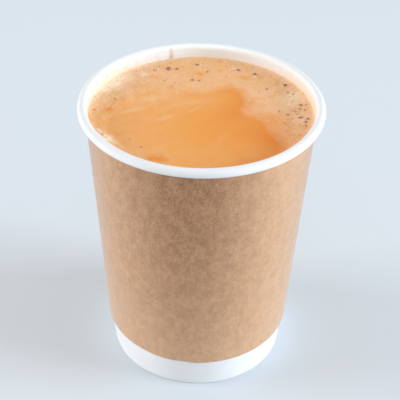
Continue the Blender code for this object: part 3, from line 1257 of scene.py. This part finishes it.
    def cream(self, x: Array, y: Array) -> Array:
        """Cream stirred into the chai: broad at the left, front and back left, with strokes in it.

        Args:
            x: First coordinate of each place.
            y: Second coordinate of each place.

        Returns:
            From 0 to 1 where the cream is thickest.
        """
        cream = 0.30 * smooth(-x, -2 * MM, 24 * MM) + 0.16 * smooth(-y, 14 * MM, 30 * MM)
        cream = cream + 0.26 * smooth(y, -4 * MM, 12 * MM) * smooth(-x, -14 * MM, 2 * MM)
        cream = cream * (1 + 0.35 * ripples(x, y, 7 * MM, 24))
        return np.clip(cream + self.strokes(x, y, self.streaks), 0.0, 1.0)

    def bank(self, x: Array, y: Array) -> Array:
        """Brighter froth banked against the wall, wider and stronger at the back left.

        Args:
            x: First coordinate of each place.
            y: Second coordinate of each place.

        Returns:
            From 0 to 1 at the wall.
        """
        left = lobe(np.arctan2(y, x), 150, 34)
        width = (1.0 + 2.0 * left) * MM
        return (0.6 + 0.4 * left) * np.exp(-np.clip(self.to_wall(x, y), 0.0, None) / width)

    def colours(self, x: Array, y: Array) -> dict[str, Array]:
        """Numbers from 0 to 1 that the drink's finish blends its colours by.

        The colours' edge is the froth's, moved by ripples and by the drift. Pale patches and
        banks count both as foam and as bank. Spots, ochre patches and the painted shade round
        the dark bubbles are round bells, with a broad breath of ochre over the back.

        Args:
            x: First coordinate of each place.
            y: Second coordinate of each place.

        Returns:
            The numbers by name.
        """
        turn, _ = self.polar(x, y)
        inside = self.depth_in(x, y)
        inside = inside + 0.7 * MM * ripples(x, y, 9 * MM, 21) + 0.3 * MM * ripples(x, y, 3 * MM, 22)
        for middle, width, size in self.drift:
            inside = inside - size * lobe(turn, middle, width)
        broken = 1 + 0.3 * ripples(x, y, 4 * MM, 25)
        pale = self.patches(x, y, self.pale) + self.strokes(x, y, self.banks) * broken
        pale = np.clip(pale, 0.0, 1.0)
        return {
            "foam": np.maximum(self.foam(inside, turn), pale),
            "deep": self.deep(x, y, inside, turn),
            "cream": self.cream(x, y),
            "spot": self.patches(x, y, self.spots),
            "ochre": self.patches(x, y, self.ochres) + 0.22 * lobe(np.arctan2(y, x), 92, 34),
            # Painted shade round the dark bubbles.
            "painted_bubble_shade": self.patches(x, y, self.bubble_shade_patches),
            "bank": np.clip(self.bank(x, y) + pale, 0.0, 1.0),
        }

    def strokes(self, x: Array, y: Array, table: tuple) -> Array:
        """Sum of soft strokes, each of a table's rows of two ends, width and bow in mm, and strength.

        Args:
            x: First coordinate of each place.
            y: Second coordinate of each place.
            table: Rows of start, end, width, bow and strength.

        Returns:
            The sum at each place.
        """
        total = np.zeros(np.broadcast(x, y).shape)
        for start, end, width, bow, strength in table:
            ends = ((start[0] * MM, start[1] * MM), (end[0] * MM, end[1] * MM))
            total += strength * stroke(x, y, *ends, width * MM, bow * MM)
        return total

    def patches(self, x: Array, y: Array, table: tuple) -> Array:
        """Sum of round bells, each of a table's rows of x, y, radius in mm, and strength.

        Args:
            x: First coordinate of each place.
            y: Second coordinate of each place.
            table: Rows of x, y, radius and strength.

        Returns:
            The sum, at most 1.
        """
        total = np.zeros(np.broadcast(x, y).shape)
        for px, py, radius, strength in table:
            total += strength * np.exp(-((x - px * MM) ** 2 + (y - py * MM) ** 2) / (radius * MM) ** 2)
        return np.clip(total, 0.0, 1.0)


@dataclass
class ChaiBody:
    """The drink: its surface with a meniscus and slow swells, and its hidden sides and bottom.

    Attributes:
        shape: The cup's sizes.
        outline: Where the froth lies.
        level: Height of the drink's surface.
        meniscus: How far the surface climbs the wall.
        swell: Height of the surface's slow swells.
        columns: How many equal steps go round.
        rings: How many rings the surface has.
    """

    shape: CupShape
    outline: FrothOutline
    level: float
    meniscus: float = 0.25 * MM
    swell: float = 0.035 * MM
    columns: int = 420
    rings: int = 128

    def profile(self) -> Array:
        """Middle of the surface out to the wall, down the side just inside the paper, and back in.

        Returns:
            Rows by 2 of (radius, height).
        """
        outer = self.shape.drink_side(self.level)
        share = np.linspace(0.0, 1.0, self.rings)
        radius = outer * (1 - (1 - share) ** 1.12)
        climb = self.meniscus * np.exp(-(outer - radius) / (0.75 * MM))
        side = np.linspace(self.level, self.shape.disc_height + 0.3 * MM, 12)[1:]
        bottom = np.linspace(self.shape.wall_inside(side[-1]), 0.0, 8)[1:]
        return np.vstack([
            np.column_stack([radius, self.level + climb]),
            np.column_stack([self.shape.drink_side(side), side]),
            np.column_stack([bottom, np.full(len(bottom), side[-1])]),
        ])

    def build(self, material: bpy.types.Material) -> bpy.types.Object:
        """Turn the profile, raise the swells on its surface and colour it.

        Args:
            material: Finish of the piece.

        Returns:
            The piece.
        """
        profile = self.profile()
        points = turn_profile(profile, ring_angles(self.columns))
        x, y = points[..., 0], points[..., 1]
        on_top = (np.arange(len(profile)) < self.rings)[:, None]
        calm = smooth(self.outline.to_wall(x, y), 0.0, 5 * MM)
        swells = ripples(x, y, 15 * MM, 31) + 0.35 * ripples(x, y, 5 * MM, 32)
        points[..., 2] += self.swell * swells * calm * on_top
        mesh = Surface(points, False, self.outline.colours(x, y)).mesh("chai_surface")
        return add_piece("chai_surface", mesh, material, "chai", "chai")


@dataclass
class FrothRaft:
    """The froth: a thin raft, feathered into the tea at its inner edge and piled at the wall.

    Attributes:
        shape: The cup's sizes.
        outline: Where the froth lies.
        level: Height of the drink's surface.
        crest: Height of the froth over its sunk edge.
        climb: How far it is piled up at the wall.
        sunk: Depth of its underside.
        columns: How many equal steps go round.
        rings: How many rings its upper face has.
    """

    shape: CupShape
    outline: FrothOutline
    level: float
    crest: float = 0.34 * MM
    climb: float = 0.35 * MM
    sunk: float = 0.35 * MM
    columns: int = 700
    rings: int = 84

    def height(self, x: Array, y: Array) -> Array:
        """Height of the froth's upper face at a place on the drink.

        It rises from just under the tea over the first millimetres, climbs at the wall, and
        carries lumps at two sizes that fade towards the feathered edge.

        Args:
            x: First coordinate of each place.
            y: Second coordinate of each place.

        Returns:
            The height at each place.
        """
        inside = self.outline.depth_in(x, y)
        body = smooth(inside, -0.2 * MM, 5.0 * MM)
        lumps = 0.10 * MM * ripples(x, y, 5.0 * MM, 41, 14)
        lumps = lumps + 0.07 * MM * ripples(x, y, 1.7 * MM, 42, 18)
        around = np.arctan2(y, x)
        banked = 0.1 + 0.9 * lobe(around, 155, 28) + 0.6 * lobe(around, 5, 45) - 0.8 * lobe(around, 108, 6)
        to_wall = np.clip(self.outline.to_wall(x, y), 0.0, None)
        pile = self.climb * banked * np.exp(-to_wall / (0.8 * MM))
        return self.level - 0.06 * MM + (self.crest + lumps) * body + pile

    def build(self, material: bpy.types.Material) -> bpy.types.Object:
        """Lay the grid of turn and share across the froth, close it underneath and colour it.

        Args:
            material: Finish of the piece.

        Returns:
            The piece.
        """
        turn = np.linspace(0.0, TURN, self.columns, endpoint=False)[None, :]
        start = self.outline.clear_reach(turn)
        end = self.outline.wall_reach(turn, self.shape.drink_side(self.level))
        share = np.concatenate([np.linspace(0.0, 1.0, self.rings), np.linspace(1.0, 0.0, 6)])[:, None]
        reach = start + (end - start) * share
        x = self.outline.middle[0] + reach * np.cos(turn)
        y = self.outline.middle[1] + reach * np.sin(turn)
        under = (np.arange(len(share)) >= self.rings)[:, None]
        z = np.where(under, self.level - self.sunk, self.height(x, y))
        values = self.outline.colours(x, y)
        mesh = Surface(np.stack([x, y, z], axis=-1), True, values).mesh("froth_raft")
        return add_piece("froth_raft", mesh, material, "froth", "froth")


@dataclass
class FoamTideLine:
    """Foam clinging to the wall just above the drink, with a ragged upper edge.

    Attributes:
        shape: The cup's sizes.
        level: Height of the drink's surface.
        thickness: Thickness of the foam at its foot.
        sunk: Depth of its foot in the drink.
        columns: How many equal steps go round.
        rows: How many rows run up its face.
    """

    shape: CupShape
    level: float
    thickness: float = 0.16 * MM
    sunk: float = 0.3 * MM
    columns: int = 900
    rows: int = 9

    def rise(self, angles: Array) -> Array:
        """How high the foam reaches: a base height, more at the back left and right, and ragged.

        Args:
            angles: Angle of each column, in radians.

        Returns:
            Height above the drink at each angle.
        """
        broad = 0.12 + 1.10 * lobe(angles, 155, 27) + 0.60 * lobe(angles, 8, 34)
        flat = np.degrees(angles)
        ragged = 0.20 * ripples(flat, 0.0, 7.0, 51) + 0.14 * ripples(flat, 0.0, 1.8, 52, 16)
        return np.maximum(broad + ragged, 0.05) * MM

    def build(self, material: bpy.types.Material) -> bpy.types.Object:
        """Run the film's section up its face and back down inside the paper.

        Args:
            material: Finish of the piece.

        Returns:
            The piece.
        """
        angles = ring_angles(self.columns)
        share = np.linspace(0.0, 1.0, self.rows)[:, None]
        foot = self.level - self.sunk
        height = foot + (self.rise(angles) + self.sunk) * share
        thin = self.thickness * np.sqrt(1 - 0.96 * share)
        front = self.shape.wall_inside(height) - thin
        back = self.shape.wall_inside(height[::-1]) + 0.06 * MM
        points = carry_round(np.vstack([front, back]), np.vstack([height, height[::-1]]), angles)
        climb = np.vstack([share, share[::-1]])
        mesh = Surface(points, True, {"climb": climb}).mesh("foam_tide_line")
        return add_piece("foam_tide_line", mesh, material, "froth")


@dataclass
class Bubbles:
    """Bubbles of one look, joined into one piece.

    Attributes:
        froth: The froth that they stand on.
        look: How their film looks.
        places: Rows of x, y and radius.
        lift: Height of a bubble's middle over the froth, in radii.
        rings: Rings of faces from pole to pole.
        sides: Faces round each ring.
        flatness: Height of a bubble over its width.
    """

    froth: FrothRaft
    look: BubbleLook
    places: Array
    lift: float
    rings: int
    sides: int
    flatness: float = 0.7

    def unit(self) -> Array:
        """Points of a unit sphere, top pole to bottom pole, rings by sides by 3.

        Returns:
            Points by ring, side and coordinate.
        """
        fall = np.linspace(0.0, math.pi, self.rings + 1)[:, None]
        turn = np.linspace(0.0, TURN, self.sides, endpoint=False)
        return carry_round(np.sin(fall), np.cos(fall), turn)

    def build(self, material: bpy.types.Material) -> bpy.types.Object:
        """Copy the sphere to every place in one array and join the faces with offsets.

        Args:
            material: Finish of the piece.

        Returns:
            The piece.
        """
        unit = self.unit()
        x, y, radius = self.places.T
        z = self.froth.height(x, y) + self.lift * radius
        scale = np.stack([radius, radius, radius * self.flatness], axis=-1)
        points = np.stack([x, y, z], axis=-1)[:, None, None, :] + unit[None] * scale[:, None, None, :]
        rows, sides = unit.shape[:2]
        offsets = (np.arange(len(x)) * rows * sides)[:, None, None]
        quads = (grid_quads(rows, sides, False)[None] + offsets).reshape(-1, 4)
        name = f"{self.look.value}_bubbles"
        mesh = point_mesh(name, points, quads, {"dome": unit[..., 2]})
        finish_mesh(mesh)
        return add_piece(name, mesh, material, "froth")


@dataclass
class BubbleScatter:
    """Draws where bubbles stand on the froth.

    Attributes:
        outline: Where the froth lies.
        seed: Seed of the drawn bubbles.
        open_count: How many dark bubbles are drawn.
        pale_count: How many pale ones are drawn.
        rosy_highlight: Pinkish bubbles, as x, y and radius in mm, whose colour is a painted highlight.
    """

    outline: FrothOutline
    seed: int = 61
    open_count: int = 42
    pale_count: int = 3600
    # Pinkish bubbles whose colour is a painted highlight.
    rosy_highlight: tuple[tuple[float, float, float], ...] = (
        (-0.4, 34.9, 0.72), (12.3, 32.1, 0.80), (20.4, 26.2, 0.70), (-17.2, 30.5, 0.52),
        (30.2, 3.6, 0.42), (37.1, 0.6, 0.40), (38.5, -6.4, 0.36), (-36.3, -13.8, 0.55),
        (-35.4, -15.0, 0.66), (-34.2, -16.5, 0.76), (11.0, 31.4, 0.50), (0.8, 34.2, 0.45),
        (-19.5, 30.4, 0.40), (33.6, 1.0, 0.36), (-33.1, -17.9, 0.62),
    )

    def open_places(self) -> Array:
        """The dark bubbles where they show, and smaller ones drawn round the back and the right.

        Returns:
            Rows of x, y and radius.
        """
        draw, count = np.random.default_rng(self.seed), self.open_count
        angle = np.radians(draw.uniform(-25.0, 140.0, count))
        reach = self.outline.wall - draw.gamma(1.6, 3.0, count) * MM - 1.0 * MM
        radius = draw.uniform(0.12, 0.26, count) * MM
        drawn = np.column_stack([reach * np.cos(angle), reach * np.sin(angle), radius])
        drawn = drawn[self.outline.depth_in(drawn[:, 0], drawn[:, 1]) > 1.5 * MM]
        return np.vstack([np.array(self.outline.dark) * (1.0, 1.0, 1.2) * MM, drawn])

    def rosy_highlight_places(self) -> Array:
        """The pinkish bubbles, whose colour is a painted highlight, where they show."""
        return np.array(self.rosy_highlight) * MM

    def pale_places(self) -> Array:
        """Small pale bubbles, drawn evenly and kept more often near the wall.

        Returns:
            Rows of x, y and radius.
        """
        draw, count = np.random.default_rng(self.seed + 1), self.pale_count
        wall = self.outline.wall
        angle = draw.uniform(0.0, TURN, count)
        reach = wall * np.sqrt(draw.uniform(0.0, 1.0, count))
        radius = draw.gamma(3.0, 0.055, count) * MM + 0.10 * MM
        keep = draw.uniform(0.0, 1.0, count)
        x, y = reach * np.cos(angle), reach * np.sin(angle)
        inside = self.outline.depth_in(x, y)
        near_wall = np.exp(-(wall - reach) / (5 * MM))
        wanted = (0.25 + 0.75 * near_wall) * (1 - 0.85 * lobe(angle, 160, 35))
        chosen = (inside > 0.8 * MM) & (keep < wanted) & (wall - reach > radius)
        return np.column_stack([x, y, radius])[chosen]


def swing(first: Vector, second: Vector, angle: float) -> tuple[Vector, Vector]:
    """Turn two perpendicular directions in their plane, the first towards the second."""
    sine, cosine = math.sin(angle), math.cos(angle)
    return first * cosine + second * sine, second * cosine - first * sine


@dataclass
class Studio:
    """The pale floor, the soft light and the camera at the picture's place.

    Attributes:
        focal_pixels: Focal length in pixels of a picture 400 pixels wide.
        distance: From the aim point, on the cup's axis, to the camera.
        elevation: Angle of the camera above the floor.
        aim_height: Height of the aim point.
        yaw: Turn of the view to the right.
        pitch: Turn of the view upwards.
        roll: Turn of the view about its own axis.
        picture_width: That picture's width.
        sensor: Width of the camera's sensor, in mm.
        floor_size: Side of the floor.
        sky: Colour of the even room.
        softboxes: Name, place, size, power and tint of each soft light.
    """

    focal_pixels: float = 1096.26
    picture_width: float = 400.0
    sensor: float = 36.0
    distance: float = 0.4293
    elevation: float = 0.6559
    aim_height: float = 0.055
    yaw: float = 0.0006
    pitch: float = 0.0193
    roll: float = 0.0219
    floor_size: float = 30.0
    sky: Colour = (0.655, 0.66, 0.665)
    softboxes: tuple[tuple, ...] = (
        ("right_panel", (4.36, -0.60, 1.035), 2.2, 219.2, (0.90, 1.0, 1.11)),
        ("left_panel", (-4.40, 0.0, 1.035), 2.2, 153.6, (1.0, 1.0, 1.0)),
        ("overhead", (0.0, -0.05, 0.60), 0.30, 0.25, (1.0, 1.0, 1.0)),
    )

    def place_camera(self) -> None:
        """Set the camera from its elevation, and then its yaw, pitch and roll."""
        ahead = Vector((0.0, math.cos(self.elevation), -math.sin(self.elevation)))
        right = Vector((1.0, 0.0, 0.0))
        up = right.cross(ahead)
        place = Vector((0.0, 0.0, self.aim_height)) - ahead * self.distance
        ahead, right = swing(ahead, right, self.yaw)
        ahead, up = swing(ahead, up, self.pitch)
        right, up = swing(right, up, self.roll)
        lens = bpy.data.cameras.new("camera")
        lens.sensor_width = self.sensor
        lens.lens = self.sensor * self.focal_pixels / self.picture_width
        lens.clip_start, lens.clip_end = 0.01, 20.0
        camera = bpy.data.objects.new("camera", lens)
        turn = Matrix((right, up, -ahead)).transposed().to_4x4()
        camera.matrix_world = Matrix.Translation(place) @ turn
        bpy.context.scene.collection.objects.link(camera)
        bpy.context.scene.camera = camera

    def lay_floor(self) -> None:
        """Lay the floor as a plain square."""
        half = self.floor_size / 2
        mesh = bpy.data.meshes.new("floor")
        corners = [(-half, -half, 0.0), (half, -half, 0.0), (half, half, 0.0), (-half, half, 0.0)]
        mesh.from_pydata(corners, [], [(0, 1, 2, 3)])
        mesh.materials.append(FloorFinish().material())
        floor = bpy.data.objects.new("floor", mesh)
        bpy.context.scene.collection.objects.link(floor)

    def add_softbox(self, name: str, place: tuple, size: float, power: float, tint: Colour) -> None:
        """Hang a square soft light that faces the cup's middle.

        Args:
            name: Name of the light.
            place: Where it hangs.
            size: Length of its side.
            power: Its power in watts.
            tint: Its colour.
        """
        lamp = bpy.data.lights.new(name, "AREA")
        lamp.shape = "SQUARE"
        lamp.size = size
        lamp.energy = power
        lamp.color = tint
        light = bpy.data.objects.new(name, lamp)
        light.location = place
        aim = Vector((0.0, 0.0, self.aim_height)) - light.location
        light.rotation_euler = aim.to_track_quat("-Z", "Y").to_euler()
        light.visible_camera = False
        light.visible_glossy = False
        bpy.context.scene.collection.objects.link(light)

    def light(self) -> None:
        """Light the cup softly from both sides and above, in an even pale room."""
        for softbox in self.softboxes:
            self.add_softbox(*softbox)
        world = bpy.data.worlds.new("Studio")
        world.use_nodes = True
        bpy.context.scene.world = world
        graph = ShaderGraph(world.node_tree)
        shine = graph.add("ShaderNodeBackground", None, {"Color": (*self.sky, 1.0), "Strength": 1.0})
        graph.add("ShaderNodeOutputWorld", None, {"Surface": shine})

    def build(self) -> None:
        """Set up the camera, the floor, the light and plain colour management."""
        self.place_camera()
        self.lay_floor()
        self.light()
        bpy.context.scene.view_settings.view_transform = "Standard"


def main() -> None:
    """Build every piece of the cup and the drink, and the studio round them."""
    logging.basicConfig(level=logging.INFO, format="%(name)s %(message)s")
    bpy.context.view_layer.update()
    Studio().build()
    shape = CupShape()
    wrap_low, wrap_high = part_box("kraft_wrap")
    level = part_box("chai")[1].z
    paper = CoatedPaper().material()
    drink = DrinkFinish().material()
    Sidewall(shape, level).build(paper)
    BottomDisc(shape).build(paper)
    KraftWrap(shape, wrap_low.z, wrap_high.z).build(KraftPaper().material())
    outline = FrothOutline(shape, level)
    ChaiBody(shape, outline, level).build(drink)
    froth = FrothRaft(shape, outline, level)
    froth.build(drink)
    FoamTideLine(shape, level).build(FoamFilm().material())
    scatter = BubbleScatter(outline)
    for look, places, lift, rings, sides in (
        (BubbleLook.OPEN, scatter.open_places(), -0.1, 8, 14),
        (BubbleLook.ROSY_HIGHLIGHT, scatter.rosy_highlight_places(), -0.2, 8, 14),
        (BubbleLook.PALE, scatter.pale_places(), -0.3, 5, 8),
    ):
        bubbles = Bubbles(froth, look, places, lift, rings, sides)
        bubbles.build(BubbleFinish(look).material())


if __name__ == "__main__":
    main()
